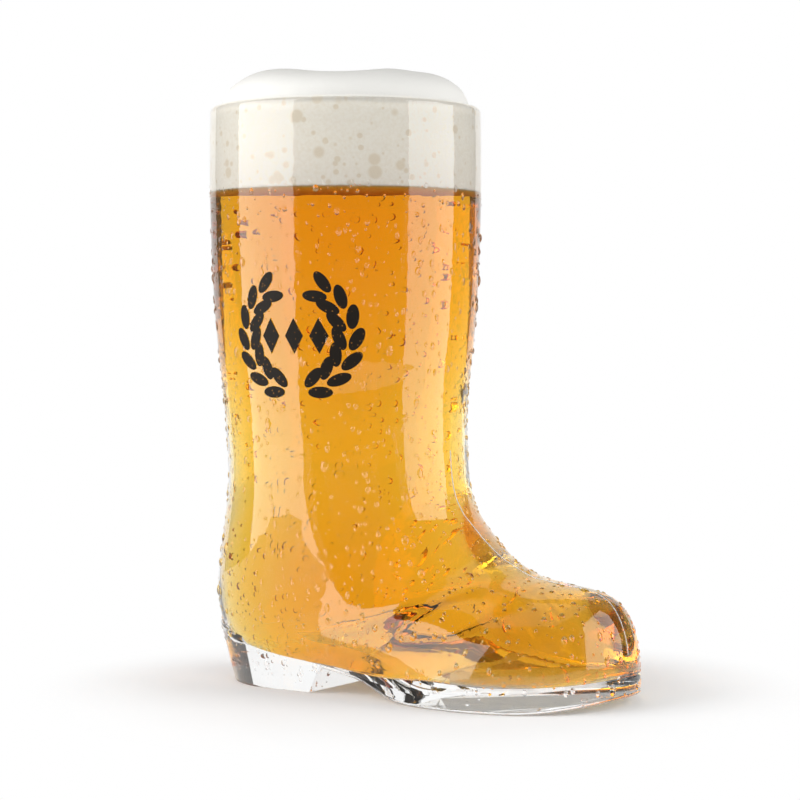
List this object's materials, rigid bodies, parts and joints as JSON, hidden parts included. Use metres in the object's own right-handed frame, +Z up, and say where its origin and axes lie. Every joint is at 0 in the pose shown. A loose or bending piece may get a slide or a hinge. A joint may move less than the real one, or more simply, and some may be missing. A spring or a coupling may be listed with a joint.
{
  "type": "beer boot glass",
  "caption": "Boot-shaped drinking glass of clear thick glass with heel, sole and rounded toe, filled with amber beer and topped by a head of white foam.",
  "frame": {"origin": "on the floor, under the middle of the boot's length and width", "axes": "+Z up, +X forward towards the toe, +Y to the boot's left side"},
  "size_m": [0.1472, 0.0876, 0.1972],
  "materials": {
    "clear_glass": "polished clear soda-lime glass",
    "beer": "clear amber liquid",
    "foam": "matt white foam",
    "fired_print": "matt black fired-on enamel"
  },
  "bodies": {
    "root": {"boot_glass": "clear_glass", "beer": "beer", "foam_head": "foam", "printed_emblem": "fired_print"}
  },
  "joints": []
}
